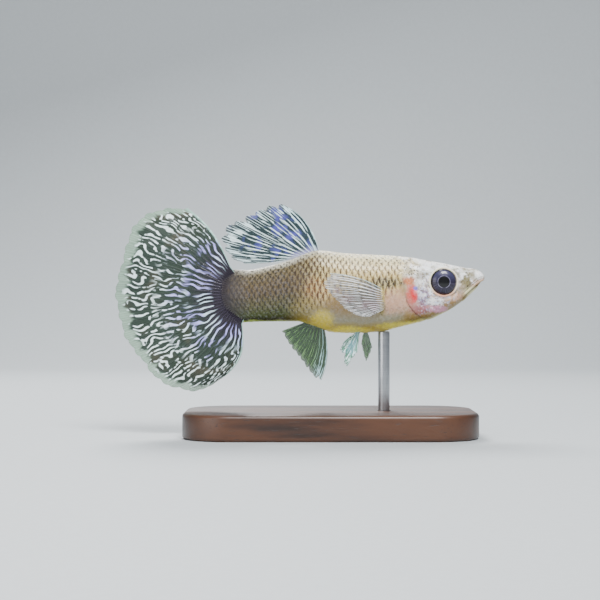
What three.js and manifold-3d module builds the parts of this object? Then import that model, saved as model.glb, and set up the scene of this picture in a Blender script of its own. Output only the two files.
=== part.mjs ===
// Fancy guppy, a female with a wide patterned tail: a still, life-size display model, swimming level on
// one rod over a flat base. Lengths are in millimetres. +X is the way the fish faces, +Y its left and +Z
// up, and the origin is the middle of the base's underside.
// Places on the fish are written as [behind, above]: how far behind and above the tip of its snout, in
// hundredths of its standard length, which runs from the snout to the root of the tail fin.

import * as THREE from "three";
import { mergeVertices } from "three/addons/utils/BufferGeometryUtils.js";
import Module from "manifold-3d";

const wasm = await Module();
wasm.setup();

// Driving dimensions
const standardLength = 35;
const bodyWidth = 6.8;
const webThickness = 0.5; // of a fin between its rays
const gap = 0.3; // between neighbouring pieces
const tailClearance = 2.5; // from the tail fin down to the base

const percent = standardLength / 100;

// Helpers for closed meshes

function solid(geometry) {
  const bare = new THREE.BufferGeometry();
  bare.setAttribute("position", geometry.getAttribute("position"));
  bare.setIndex(geometry.getIndex());
  const merged = mergeVertices(bare, 1e-4);
  return new wasm.Manifold(
    new wasm.Mesh({
      numProp: 3,
      vertProperties: new Float32Array(merged.attributes.position.array),
      triVerts: new Uint32Array(merged.index.array),
    }),
  );
}

function geometryOf(shape) {
  const mesh = shape.getMesh();
  const geometry = new THREE.BufferGeometry();
  geometry.setAttribute("position", new THREE.BufferAttribute(mesh.vertProperties, 3));
  geometry.setIndex(new THREE.BufferAttribute(mesh.triVerts, 1));
  const faceted = geometry.toNonIndexed();
  faceted.computeVertexNormals();
  return faceted;
}

// The closed bodies of a shape, the largest first, without scraps.
function bodiesOf(shape) {
  return shape.decompose().sort((a, b) => b.volume() - a.volume());
}

const largest = (shape) => bodiesOf(shape)[0];

// A closed skin over a list of rings of points, all of one length. The first and the last ring are
// closed by a fan.
function skinOver(rings) {
  const around = rings[0].length;
  const points = rings.flat();
  const faces = [];
  for (let i = 0; i + 1 < rings.length; i++)
    for (let j = 0; j < around; j++) {
      const a = i * around + j;
      const b = i * around + ((j + 1) % around);
      faces.push(a, a + around, b, b, a + around, b + around);
    }
  for (const [i, turn] of [
    [0, 0],
    [rings.length - 1, 1],
  ]) {
    const middle = rings[i].reduce((sum, p) => sum.add(p), new THREE.Vector3()).divideScalar(around);
    points.push(middle);
    for (let j = 0; j < around; j++) {
      const a = i * around + j;
      const b = i * around + ((j + 1) % around);
      faces.push(points.length - 1, ...(turn ? [b, a] : [a, b]));
    }
  }
  const geometry = new THREE.BufferGeometry().setFromPoints(points);
  geometry.setIndex(faces);
  return geometry;
}

// Turns a flat outline, a list of THREE.Vector2 (x, z), into a slab right across the fish.
const slabReach = 12;
function slab(outline) {
  const shape = new THREE.Shape(outline);
  const geometry = new THREE.ExtrudeGeometry(shape, { depth: 2 * slabReach, bevelEnabled: false });
  geometry.rotateX(Math.PI / 2);
  geometry.translate(0, slabReach, 0);
  return solid(geometry);
}

const flat = ([behind, above]) => new THREE.Vector2(-behind * percent, above * percent);

// A cut of the given width across the fish, along a smooth line seen from the side.
function cutAlong(places, width) {
  const line = new THREE.SplineCurve(places.map(flat));
  const steps = 5 * (places.length - 1);
  const sides = [[], []];
  for (let i = 0; i <= steps; i++) {
    const p = line.getPoint(i / steps);
    const along = line.getTangent(i / steps);
    const across = new THREE.Vector2(-along.y, along.x).multiplyScalar(width / 2);
    sides[0].push(p.clone().add(across));
    sides[1].unshift(p.clone().sub(across));
  }
  return slab([...sides[0], ...sides[1]]);
}

// A round or oval prism across the fish, from y = near to y = far.
function prism([behind, above], radiusX, radiusZ, near, far) {
  const geometry = new THREE.CylinderGeometry(1, 1, far - near, 32);
  geometry.scale(radiusX, 1, radiusZ);
  geometry.translate(-behind * percent, (near + far) / 2, above * percent);
  return solid(geometry);
}

// A smooth line through a few [x, y] points that never swings past them.
function lineThrough(points) {
  const last = points.length - 1;
  const rise = points.slice(1).map(([x, y], i) => (y - points[i][1]) / (x - points[i][0]));
  const slopes = points.map((_, i) => {
    if (i === 0 || i === last) return rise[Math.min(i, last - 1)];
    const [a, b] = [rise[i - 1], rise[i]];
    return a * b > 0 ? (2 * a * b) / (a + b) : 0;
  });
  return (x) => {
    let i = 0;
    while (i < last - 1 && x > points[i + 1][0]) i++;
    const [[x0, y0], [x1, y1]] = [points[i], points[i + 1]];
    const span = x1 - x0;
    const t = THREE.MathUtils.clamp((x - x0) / span, 0, 1);
    const u = 1 - t;
    const level = u * u * (1 + 2 * t) * y0 + t * t * (1 + 2 * u) * y1;
    return level + u * t * span * (u * slopes[i] - t * slopes[i + 1]);
  };
}

// The body: its back and belly seen from the side, and its half width as a share of half the body's width.
// The lines are drawn against the square root of the distance, so that the snout is blunt.
const overRoot = (points) => {
  const line = lineThrough(points.map(([x, y]) => [Math.sqrt(x), y]));
  return (behind) => line(Math.sqrt(behind));
};
const bodyEnd = 104;
const backLine = overRoot([
  [0, 0],
  [1.2, 2.2],
  [4.3, 3.8],
  [7.1, 4.1],
  [17.7, 6.2],
  [33.4, 8.6],
  [55, 9.8],
  [65.2, 10.9],
  [77.8, 6.8],
  [86.4, 4.4],
  [94.3, 3.2],
  [bodyEnd, 3.5],
]);
const bellyLine = overRoot([
  [0, 0],
  [0.4, -1],
  [2, -2.4],
  [5.1, -5.6],
  [9.8, -10],
  [13.8, -12.7],
  [21.6, -16.2],
  [33.4, -19.3],
  [41.3, -21.2],
  [53, -21.7],
  [58.9, -21.5],
  [68.8, -18.3],
  [74, -17.1],
  [88.4, -17.2],
  [bodyEnd, -17.8],
]);
const flankLine = overRoot([
  [0, 0],
  [0.4, 0.2],
  [1.2, 0.33],
  [5.9, 0.52],
  [11, 0.66],
  [17, 0.78],
  [27, 0.9],
  [43, 1],
  [54, 0.98],
  [65, 0.84],
  [77, 0.62],
  [88, 0.44],
  [95, 0.3],
  [100, 0.2],
  [bodyEnd, 0.15],
]);
// How square a cross section is: 2 is an ellipse. The top of the head is broad and flat.
const bellySquareness = 2.1;
const backSquareness = lineThrough([
  [0, 2.4],
  [10, 3.1],
  [25, 2.9],
  [45, 2.2],
  [bodyEnd, 2.2],
]);

// The body's section at a place behind the snout.
function section(behind) {
  const top = backLine(behind) * percent;
  const bottom = bellyLine(behind) * percent;
  const halfWidth = (flankLine(behind) * bodyWidth) / 2;
  return { top, bottom, halfWidth, middle: (top + bottom) / 2, halfDepth: (top - bottom) / 2 };
}

// Head: eyes in open sockets with a raised rim, a mouth between two lips, nostrils, and gill covers
const eye = { at: [16.8, -1.6], radius: 1.69, sunk: 0.85, bulge: 0.45 };
const rim = { radius: 2.22, thickness: 0.24, sunk: 0.1 };
const mouthLine = [
  [-2, -1],
  [1.3, -1.7],
  [3.4, -3],
  [5.7, -4.9],
  [8, -7],
  [10, -9.3],
  [11.6, -13.5],
];
const lips = { corner: [8.6, -7.7], softness: 0.38, height: 0.2 };
const gillLine = [
  [28, 12],
  [31, 4],
  [32.4, -2.8],
  [31.4, -9],
  [28.3, -13.8],
  [21.5, -19.5],
];
const gillCover = { at: [28.4, -7.6], radiusX: 1.6, radiusZ: 2.15, height: 0.12, thickness: 0.55 };
const nostril = { at: [7.6, 1.9], radius: 0.26 };

// How far the lips stand out at a point of the skin, in millimetres.
const mouthPoints = new THREE.SplineCurve(mouthLine.map(flat)).getPoints(36);
const mouthCorner = flat(lips.corner);
function lipRelief(p) {
  const side = new THREE.Vector2(p.x, p.z);
  const toMouth = Math.min(...mouthPoints.map((m) => m.distanceTo(side)));
  const inMouth = THREE.MathUtils.smoothstep(side.x, mouthCorner.x - 0.4, mouthCorner.x + 0.3);
  return lips.height * inMouth * Math.exp(-((toMouth / lips.softness) ** 2));
}

const bend = (wave, power) => Math.sign(wave) * Math.abs(wave) ** (2 / power);

const bodyRings = 54;
const bodySegments = 40;
const smallest = 0.05;
function plainPoint(ring, segment) {
  const behind = bodyEnd * (Math.max(ring, 0.2) / bodyRings) ** 1.55;
  const { middle, halfDepth, halfWidth } = section(behind);
  const angle = (2 * Math.PI * segment) / bodySegments;
  const [wide, high] = [Math.cos(angle), Math.sin(angle)];
  const power = high > 0 ? backSquareness(behind) : bellySquareness;
  return new THREE.Vector3(
    -behind * percent,
    Math.max(halfWidth, smallest) * bend(wide, power),
    middle + Math.max(halfDepth, smallest) * bend(high, power),
  );
}

// The body, grown outwards by some millimetres.
function body(grown = 0) {
  const rings = [];
  for (let i = 1; i <= bodyRings; i++) {
    const ring = [];
    for (let j = 0; j < bodySegments; j++) {
      const p = plainPoint(i, j);
      const along = plainPoint(i + 1, j).sub(plainPoint(i - 1, j));
      const around = plainPoint(i, j + 1).sub(plainPoint(i, j - 1));
      const normal = along.cross(around).normalize();
      const thickest = -0.8 * section(-p.x / percent).halfWidth;
      ring.push(p.addScaledVector(normal, Math.max(grown + lipRelief(p), thickest)));
    }
    rings.push(ring);
  }
  return solid(skinOver(rings));
}

// Half the body's width at a height above the snout, both in hundredths, as millimetres.
function flankAt([behind, above]) {
  const { middle, halfDepth, halfWidth } = section(behind);
  const level = (above * percent - middle) / halfDepth;
  const power = level > 0 ? backSquareness(behind) : bellySquareness;
  return halfWidth * Math.max(0, 1 - Math.abs(level) ** power) ** (1 / power);
}

const eyeFlank = flankAt(eye.at);
const mirrored = (side, near, far) => (side > 0 ? [near, far] : [-far, -near]);
const placeOf = (x, z) => [-x / percent, z / percent];

// A soft ring that follows the skin round the eye.
function eyeRim(side) {
  const ring = new THREE.TorusGeometry(rim.radius, rim.thickness, 8, 32);
  ring.rotateX(Math.PI / 2);
  const middle = flat(eye.at);
  ring.translate(middle.x, 0, middle.y);
  const points = ring.getAttribute("position");
  for (let i = 0; i < points.count; i++) {
    const flank = flankAt(placeOf(points.getX(i), points.getZ(i))) - rim.sunk;
    points.setY(i, points.getY(i) + side * flank);
  }
  return solid(ring);
}

const grownForClearance = body(gap);
let wholeBody = body();
for (const side of [-1, 1]) {
  const cover = prism(gillCover.at, gillCover.radiusX, gillCover.radiusZ, ...mirrored(side, 1, 6));
  wholeBody = wholeBody.add(cover.intersect(body(gillCover.height))).add(eyeRim(side));
  const dimple = new THREE.SphereGeometry(nostril.radius, 10, 8);
  const [behind, above] = nostril.at;
  dimple.translate(-behind * percent, side * (flankAt(nostril.at) + 0.1), above * percent);
  wholeBody = wholeBody.subtract(solid(dimple));
}

const [bodyBehindGills, wholeHead] = bodiesOf(wholeBody.subtract(cutAlong(gillLine, gap)));

const gillCovers = {};
let headWithPockets = wholeHead;
for (const side of [-1, 1]) {
  const { at, radiusX, radiusZ, thickness } = gillCover;
  const across = mirrored(side, 0.8, 6);
  const plate = prism(at, radiusX, radiusZ, ...across).intersect(wholeHead).subtract(body(-thickness));
  const pocket = prism(at, radiusX + gap, radiusZ + gap, ...across).subtract(body(-thickness - gap));
  headWithPockets = headWithPockets.subtract(pocket);
  const socketRadius = eye.radius + gap;
  const socket = prism(eye.at, socketRadius, socketRadius, ...mirrored(side, eyeFlank - eye.sunk - gap, 6));
  headWithPockets = headWithPockets.subtract(socket);
  gillCovers[side] = largest(plate);
}
const [headSolid, jawSolid] = bodiesOf(headWithPockets.subtract(cutAlong(mouthLine, gap)));

// One eye as a low dome, on a short round wall that stands in the socket.
function eyeball(side) {
  const height = eye.sunk + eye.bulge;
  const wall = eye.sunk * 0.75;
  const profile = [
    [0, 0],
    [eye.radius - 0.15, 0],
    [eye.radius, 0.15],
    [eye.radius, wall],
  ];
  const domeSteps = 5;
  for (let i = 1; i <= domeSteps; i++) {
    const angle = (Math.PI / 2) * (i / domeSteps);
    profile.push([eye.radius * Math.cos(angle), wall + (height - wall) * Math.sin(angle)]);
  }
  profile[profile.length - 1][0] = 0;
  const geometry = new THREE.LatheGeometry(
    profile.map(([r, h]) => new THREE.Vector2(r, h)),
    24,
  );
  if (side < 0) geometry.rotateX(Math.PI);
  const [behind, above] = eye.at;
  geometry.translate(-behind * percent, side * (eyeFlank - eye.sunk), above * percent);
  return solid(geometry);
}

// Trunk and tail stalk
const stalkStart = 78.5;
const tailRoot = [
  [99.8, 4.6],
  [102, -1.2],
  [102.4, -6.7],
  [100.6, -12.2],
  [95.1, -18.2],
];
const stalkCut = cutAlong(
  [
    [stalkStart, 12],
    [stalkStart, -5],
    [stalkStart, -22],
  ],
  gap,
);
const beyondTailRoot = slab([
  ...new THREE.SplineCurve(tailRoot.map(flat)).getPoints(20),
  flat([112, -22]),
  flat([112, 10]),
]);
const [trunkSolid, stalkSolid] = bodiesOf(bodyBehindGills.subtract(stalkCut).subtract(beyondTailRoot));

// A fin is a sheet of rays. Each ray runs from the root line to the margin, ray by ray in even steps, and
// stands up from the web as a ridge on both faces. Past the fork a ray is two branches.
function fin(form) {
  const { rays, rows, columnsPerRay, fork, bow, notch, sink, sideways, rootThickness, ridge, tipThickness } = {
    columnsPerRay: 4,
    fork: 2,
    bow: () => 0,
    notch: 0.02,
    sink: 0.8,
    sideways: () => 0,
    rootThickness: () => 0.8,
    ridge: 0.3,
    tipThickness: 0.32,
    ...form,
  };
  const spread = (places) =>
    new THREE.CatmullRomCurve3(places.map(([b, a]) => new THREE.Vector3(-b * percent, 0, a * percent)));
  const root = spread(form.root);
  const margin = spread(form.margin);
  const along = form.rayPerPoint ? (curve, u) => curve.getPoint(u) : (curve, u) => curve.getPointAt(u);
  const columns = columnsPerRay * (rays - 1);
  const middles = [];
  const thicknesses = [];
  for (let c = 0; c <= columns; c++) {
    const u = c / columns;
    const phase = (c % columnsPerRay) / columnsPerRay;
    const fromRay = Math.min(phase, 1 - phase); // 0 on a ray, 0.5 halfway to the next
    const onEdge = c === 0 || c === columns;
    const start = root.getPoint(u);
    const run = along(margin, u).sub(start);
    const leading = new THREE.Vector3(-run.z, 0, run.x).normalize();
    const deep = -sink / run.length();
    for (let r = 0; r <= rows; r++) {
      const v = deep + (1 - deep) * (r / rows);
      const reach = r === rows && !onEdge ? 1 - notch * 4 * fromRay * fromRay : 1;
      const p = start.clone().addScaledVector(run, v * reach);
      p.addScaledVector(leading, bow(u) * Math.sin(Math.PI * Math.max(0, v)) * run.length());
      p.y = sideways(u, v, p);
      middles.push(p);
      const single = Math.max(0, 1 - 3 * fromRay);
      const branched = Math.max(0.1, 1 - Math.abs(fromRay - 0.25) * 6);
      const forked = THREE.MathUtils.smoothstep(v, fork - 0.08, fork + 0.08);
      const height = onEdge ? 1 : THREE.MathUtils.lerp(single, branched, forked);
      const web = THREE.MathUtils.lerp(rootThickness(u), webThickness, THREE.MathUtils.smoothstep(v, 0, 0.3));
      const fade = THREE.MathUtils.smoothstep(v, 0.8, 1);
      thicknesses.push(THREE.MathUtils.lerp(web + ridge * height, tipThickness + 0.1 * height, fade));
    }
  }
  return solid(sheet(middles, thicknesses, columns, rows));
}

// Gives a grid of middle points its thickness, with the same triangles on both faces.
function sheet(middles, thicknesses, columns, rows) {
  const at = (c, r) =>
    middles[THREE.MathUtils.clamp(c, 0, columns) * (rows + 1) + THREE.MathUtils.clamp(r, 0, rows)];
  const points = [];
  for (const face of [1, -1])
    for (let c = 0; c <= columns; c++)
      for (let r = 0; r <= rows; r++) {
        const across = at(c + 1, r).clone().sub(at(c - 1, r));
        const outwards = at(c, r + 1).clone().sub(at(c, r - 1));
        const normal = across.cross(outwards).normalize();
        const half = thicknesses[c * (rows + 1) + r] / 2;
        points.push(at(c, r).clone().addScaledVector(normal, face * half));
      }
  const other = points.length / 2;
  const faces = [];
  const quad = (a, b, c, d) => faces.push(a, b, c, a, c, d);
  for (let c = 0; c < columns; c++)
    for (let r = 0; r < rows; r++) {
      const a = c * (rows + 1) + r;
      const [b, d] = [a + rows + 1, a + 1];
      quad(a, b, b + 1, d);
      faces.push(a + other, b + 1 + other, b + other, a + other, d + other, b + 1 + other);
    }
  const edge = [];
  for (let c = 0; c < columns; c++) edge.push(c * (rows + 1));
  for (let r = 0; r < rows; r++) edge.push(columns * (rows + 1) + r);
  for (let c = columns; c > 0; c--) edge.push(c * (rows + 1) + rows);
  for (let r = rows; r > 0; r--) edge.push(r);
  edge.forEach((a, i) => {
    const b = edge[(i + 1) % edge.length];
    quad(b, a, a + other, b + other);
  });
  const geometry = new THREE.BufferGeometry().setFromPoints(points);
  geometry.setIndex(faces);
  return geometry;
}

const wave = (turns) => Math.sin(2 * Math.PI * turns);
const clearOfBody = (shape) => largest(shape.subtract(grownForClearance));

// Tail fin: a wide fan, gently waved towards its margin
const tailWave = 0.55;
const tailFin = fin({
  root: tailRoot.map(([b, a]) => [b + gap / percent, a]),
  margin: [
    [117.1, 27.9],
    [126.5, 27.5],
    [137.5, 22.4],
    [141.8, 10.2],
    [145.4, -2.8],
    [143.8, -18.5],
    [136.3, -31.4],
    [126.1, -41.7],
    [114, -44.8],
    [103.7, -40.1],
  ],
  rays: 18,
  rows: 10,
  fork: 0.45,
  sink: 0,
  notch: 0.035,
  bow: (u) => 0.17 * u ** 5 - 0.08 * (1 - u) ** 4,
  rootThickness: (u) => 0.55 + 0.5 * Math.sin(Math.PI * u),
  sideways: (u, v) => tailWave * v * v * wave(2.2 * u + 0.1),
});
const lowestOfTail = tailFin.boundingBox().min[2];

// Dorsal fin: swept back over the tail stalk, its last rays nearly level
const dorsalFin = clearOfBody(
  fin({
    root: [
      [65.2, 11],
      [71.5, 9],
      [77.4, 7.2],
    ],
    margin: [
      [75.8, 27.3],
      [79.4, 29.1],
      [85.3, 28.3],
      [90.8, 26.3],
      [95.5, 23.2],
      [101, 21.4],
      [103.5, 17.7],
      [103.3, 13.4],
      [101.4, 9.4],
      [98.2, 6.9],
      [94.7, 5.6],
    ],
    rays: 8,
    rows: 8,
    fork: 0.5,
    notch: 0.08,
    bow: (u) => -0.1 * (1 - u) ** 3 + 0.03 * u,
    sideways: (u, v) => 0.35 * v * v * wave(0.9 * u + 0.55),
  }),
);

// Anal fin: a fan whose first rays are the longest
const analFin = clearOfBody(
  fin({
    root: [
      [62.9, -20.4],
      [67, -18.9],
      [71.1, -17.5],
    ],
    margin: [
      [64.2, -40.1],
      [66.8, -39.3],
      [69.9, -35.4],
      [73.1, -31],
      [76.2, -27.1],
      [78.2, -24],
      [79.8, -20.8],
    ],
    rays: 9,
    rows: 7,
    fork: 0.5,
    notch: 0.05,
    bow: (u) => 0.09 * (1 - u) ** 2,
    sideways: (u, v) => -0.6 * v * v * (1 - u) ** 3,
  }),
);

// Paired fins. side is -1 for the fish's right and 1 for its left
function pelvicFin(side, root, margin, spread) {
  return clearOfBody(
    fin({
      root,
      margin,
      rayPerPoint: true,
      rays: margin.length,
      rows: 6,
      columnsPerRay: 2,
      notch: 0.14,
      ridge: 0.22,
      rootThickness: () => 0.6,
      sideways: (u, v) => side * (0.75 + spread * Math.max(0, v)),
    }),
  );
}
const rightPelvicFin = pelvicFin(
  -1,
  [
    [49.3, -21.2],
    [51.1, -21.5],
  ],
  [
    [50.3, -29.1],
    [52.3, -31.4],
    [55, -35],
    [55.8, -29.9],
    [57.2, -28.3],
    [55.8, -25.2],
  ],
  1.3,
);
const leftPelvicFin = pelvicFin(
  1,
  [
    [46, -21.4],
    [47.6, -21.6],
  ],
  [
    [44, -27.5],
    [45.2, -30.8],
    [46.4, -33],
    [47.4, -29.8],
    [48.3, -26],
  ],
  1.3,
);

const pectoral = {
  flare: THREE.MathUtils.degToRad(21),
  root: [
    [39.3, -5.3],
    [40.9, -8.6],
    [42.4, -13.4],
  ],
  margin: [
    [61.3, 1.8],
    [63.3, -1.2],
    [63.7, -3.1],
    [61.7, -5.9],
    [58.9, -8.6],
    [55.8, -11.8],
    [52.3, -13.9],
    [48.7, -15.1],
    [45.6, -15.1],
  ],
};
function pectoralFin(side) {
  const rootX = -pectoral.root[1][0] * percent;
  const rootFlank = flankAt(pectoral.root[1]);
  return clearOfBody(
    fin({
      ...pectoral,
      rays: 12,
      rows: 6,
      columnsPerRay: 2,
      notch: 0.06,
      sink: 1.4,
      ridge: 0.22,
      rootThickness: () => 0.7,
      bow: (u) => -0.07 * (1 - u) ** 2,
      sideways: (u, v, p) => {
        const outward = rootFlank - 0.15 + (rootX - p.x) * Math.tan(pectoral.flare);
        return side * (outward + 0.25 * wave(1.2 * u) * Math.max(0, v));
      },
    }),
  );
}

// Display stand: a flat base, and one rod that stands in a hole in it and reaches up to the belly
const base = { length: 40, width: 22, thickness: 3.5, corner: 6, bevel: 0.5 };
const rod = { radius: 0.8, at: 39.7, deep: 2 };
const snout = {
  x: 21.3,
  z: base.thickness + tailClearance - lowestOfTail,
};
const rodX = snout.x - rod.at * percent;

function baseSolid() {
  const { length, width, thickness, corner, bevel } = base;
  const halfLength = length / 2 - bevel;
  const halfWidth = width / 2 - bevel;
  const outline = new THREE.Shape();
  outline.moveTo(halfLength - corner, -halfWidth);
  outline.absarc(halfLength - corner, -halfWidth + corner, corner, -Math.PI / 2, 0);
  outline.absarc(halfLength - corner, halfWidth - corner, corner, 0, Math.PI / 2);
  outline.absarc(-halfLength + corner, halfWidth - corner, corner, Math.PI / 2, Math.PI);
  outline.absarc(-halfLength + corner, -halfWidth + corner, corner, Math.PI, 1.5 * Math.PI);
  const board = new THREE.ExtrudeGeometry(outline, {
    depth: thickness - 2 * bevel,
    bevelThickness: bevel,
    bevelSize: bevel,
    bevelSegments: 2,
    curveSegments: 5,
  });
  board.translate(0, 0, bevel);
  const hole = new THREE.CylinderGeometry(rod.radius + gap, rod.radius + gap, 2 * (rod.deep + gap), 20);
  hole.rotateX(Math.PI / 2);
  hole.translate(rodX, 0, thickness);
  return largest(solid(board).subtract(solid(hole)));
}

// The rod in the fish's own frame, trimmed to the belly.
function rodSolid() {
  const bottom = base.thickness - rod.deep - snout.z;
  const top = section(rod.at).middle;
  const bar = new THREE.CylinderGeometry(rod.radius, rod.radius, top - bottom, 20);
  bar.rotateX(Math.PI / 2);
  bar.translate(-rod.at * percent, 0, (top + bottom) / 2);
  return largest(solid(bar).subtract(grownForClearance));
}

// Materials
const finish = (color, roughness, metalness = 0) =>
  new THREE.MeshStandardMaterial({ color, roughness, metalness });
const finishes = {
  headSkin: finish(0xd6d2c4, 0.35),
  trunkSkin: finish(0xbfae88, 0.4),
  stalkSkin: finish(0x857a66, 0.4),
  tailWeb: finish(0x5c6673, 0.35),
  fin: finish(0xb9c8dc, 0.35),
  clearFin: finish(0xc6cdd0, 0.35),
  eye: finish(0x14141c, 0.1),
  wood: finish(0x4a3426, 0.55),
  steel: finish(0xb8bbc0, 0.3, 1),
};

const model = new THREE.Group();
const fish = new THREE.Group();
fish.position.set(snout.x, 0, snout.z);
model.add(fish);

function addNode(group, name, shape, material) {
  const mesh = new THREE.Mesh(geometryOf(shape), material);
  mesh.name = name;
  group.add(mesh);
}

addNode(fish, "head", headSolid, finishes.headSkin);
addNode(fish, "lower_jaw", jawSolid, finishes.headSkin);
addNode(fish, "trunk", trunkSolid, finishes.trunkSkin);
addNode(fish, "tail_stalk", stalkSolid, finishes.stalkSkin);
addNode(fish, "tail_fin", tailFin, finishes.tailWeb);
addNode(fish, "dorsal_fin", dorsalFin, finishes.fin);
addNode(fish, "anal_fin", analFin, finishes.clearFin);
addNode(fish, "right_pelvic_fin", rightPelvicFin, finishes.fin);
addNode(fish, "left_pelvic_fin", leftPelvicFin, finishes.fin);
for (const [side, name] of [
  [-1, "right"],
  [1, "left"],
]) {
  addNode(fish, name + "_eye", eyeball(side), finishes.eye);
  addNode(fish, name + "_gill_cover", gillCovers[side], finishes.headSkin);
  addNode(fish, name + "_pectoral_fin", pectoralFin(side), finishes.clearFin);
}
addNode(fish, "stand_rod", rodSolid(), finishes.steel);
addNode(model, "stand_base", baseSolid(), finishes.wood);

export default model;
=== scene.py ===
import math

import bpy
import numpy as np
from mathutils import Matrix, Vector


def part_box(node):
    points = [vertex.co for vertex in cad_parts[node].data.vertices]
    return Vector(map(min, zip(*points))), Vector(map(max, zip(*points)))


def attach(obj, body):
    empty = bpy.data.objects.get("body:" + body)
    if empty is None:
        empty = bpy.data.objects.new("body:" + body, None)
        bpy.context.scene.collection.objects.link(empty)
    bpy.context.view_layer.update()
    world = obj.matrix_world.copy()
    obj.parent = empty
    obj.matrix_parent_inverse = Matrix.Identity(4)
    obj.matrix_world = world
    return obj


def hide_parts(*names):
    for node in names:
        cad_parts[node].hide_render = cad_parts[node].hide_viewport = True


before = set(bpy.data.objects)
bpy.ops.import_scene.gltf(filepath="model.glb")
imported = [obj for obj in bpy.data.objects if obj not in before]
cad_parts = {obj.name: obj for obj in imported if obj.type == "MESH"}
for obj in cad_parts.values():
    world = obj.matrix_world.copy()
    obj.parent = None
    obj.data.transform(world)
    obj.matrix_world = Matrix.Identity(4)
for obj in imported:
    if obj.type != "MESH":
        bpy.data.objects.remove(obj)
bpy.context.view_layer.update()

# Fancy guppy, a female with a patterned fan tail, as a life-size display model on a rod and a wooden base.
# Places on the fish are [behind, above]: hundredths of its standard length behind and above the snout's tip.
mm = 0.001
fish = {
    "standardLength": 35 * mm,
    "bodyWidth": 6.8 * mm,
    "snoutX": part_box("head")[1][0] - 0.04 * mm,  # the skin's tip, just inside the head's
    "snoutZ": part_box("tail_fin")[0][2] + 15.69 * mm,  # over the tail fin's lowest point
    "coatDepth": 0.07 * mm,  # how far the skin lies inside the solids, for the scales
}
percent = fish["standardLength"] / 100
unit = percent / mm  # a hundredth of the length, in millimetres
sides = ((-1, "right"), (1, "left"))


# Meshes


def deselectAll():
    if bpy.context.object and bpy.context.object.mode != "OBJECT":
        bpy.ops.object.mode_set(mode="OBJECT")
    bpy.ops.object.select_all(action="DESELECT")


def selectOnly(obj):
    deselectAll()
    obj.select_set(True)
    bpy.context.view_layer.objects.active = obj


def inEditMode(obj, *steps):
    selectOnly(obj)
    bpy.ops.object.mode_set(mode="EDIT")
    bpy.ops.mesh.select_all(action="SELECT")
    for step in steps:
        step()
    bpy.ops.object.mode_set(mode="OBJECT")


def applyModifier(obj, modifier):
    selectOnly(obj)
    bpy.ops.object.modifier_apply(modifier=modifier.name)


# A grid whose every point is placed by shape(u, v), u across and v along, both from 0 to 1
def shapedGrid(name, across, along, shape, weld=False):
    deselectAll()
    bpy.ops.mesh.primitive_grid_add(x_subdivisions=across, y_subdivisions=along, size=2)
    obj = bpy.context.object
    obj.name = name
    mesh = obj.data
    flat = np.empty(len(mesh.vertices) * 3, np.float32)
    mesh.vertices.foreach_get("co", flat)
    u = np.round((flat[0::3] + 1) / 2 * across) / across
    v = np.round((flat[1::3] + 1) / 2 * along) / along
    mesh.vertices.foreach_set("co", np.stack(shape(u, v), axis=1).astype(np.float32).ravel())
    mesh.update()
    if weld:
        inEditMode(
            obj,
            lambda: bpy.ops.mesh.remove_doubles(threshold=1e-6),
            lambda: bpy.ops.mesh.normals_make_consistent(inside=False),
        )
    bpy.ops.object.shade_smooth()
    return obj


def addAttribute(obj, name, values):
    layer = obj.data.attributes.new(name, "FLOAT", "POINT")
    layer.data.foreach_set("value", np.asarray(values, np.float32))


def pointsOf(obj):
    flat = np.empty(len(obj.data.vertices) * 3, np.float32)
    obj.data.vertices.foreach_get("co", flat)
    return flat[0::3], flat[1::3], flat[2::3]


def finishPiece(obj, look, slotName, *nodes):
    obj.data.materials.clear()
    obj.data.materials.append(look)
    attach(obj, "root")
    if nodes:
        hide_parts(*nodes)
    print("made", obj.name, len(obj.data.polygons), "faces")


# Curves and ramps


def ramp(x, low, high):
    t = np.clip((x - low) / (high - low), 0, 1)
    return t * t * (3 - 2 * t)


def hump(x, width):
    return np.exp(-((x / width) ** 2))


# A smooth line through a few (x, y) points that never swings past them
def lineThrough(points):
    xs, ys = np.array(points, float).T
    rise = np.diff(ys) / np.diff(xs)
    inner = np.where(rise[1:] * rise[:-1] > 0, 2 * rise[1:] * rise[:-1] / (rise[1:] + rise[:-1] + 1e-12), 0)
    slopes = np.concatenate([[rise[0]], inner, [rise[-1]]])

    def line(x):
        x = np.clip(x, xs[0], xs[-1])
        i = np.clip(np.searchsorted(xs, x) - 1, 0, len(xs) - 2)
        span = xs[i + 1] - xs[i]
        t = (x - xs[i]) / span
        s = 1 - t
        level = s * s * (1 + 2 * t) * ys[i] + t * t * (1 + 2 * s) * ys[i + 1]
        return level + s * t * span * (s * slopes[i] - t * slopes[i + 1])

    return line


# A curve through a few places, as a function from 0..1; even steps follow its length
def curveThrough(places, even=True):
    p = np.array(places, float)
    p = np.vstack([2 * p[0] - p[1], p, 2 * p[-1] - p[-2]])
    t = np.linspace(0, 1, 25)[:-1, None]
    runs = [
        0.5 * (2 * b + (c - a) * t + (2 * a - 5 * b + 4 * c - d) * t**2 + (3 * b - a - 3 * c + d) * t**3)
        for a, b, c, d in zip(p, p[1:], p[2:], p[3:])
    ]
    q = np.vstack(runs + [p[-2:-1]])
    steps = np.hypot(*np.diff(q, axis=0).T)
    at = np.concatenate([[0], np.cumsum(steps)]) if even else np.arange(len(q))
    at = at / at[-1]
    return lambda u: (np.interp(u, at, q[:, 0]), np.interp(u, at, q[:, 1]))


def farFrom(places, behind, above):
    bs, zs = curveThrough(places)(np.linspace(0, 1, 80))
    return np.sqrt(((behind[..., None] - bs) ** 2 + (above[..., None] - zs) ** 2).min(axis=-1))


# Shaders


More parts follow.
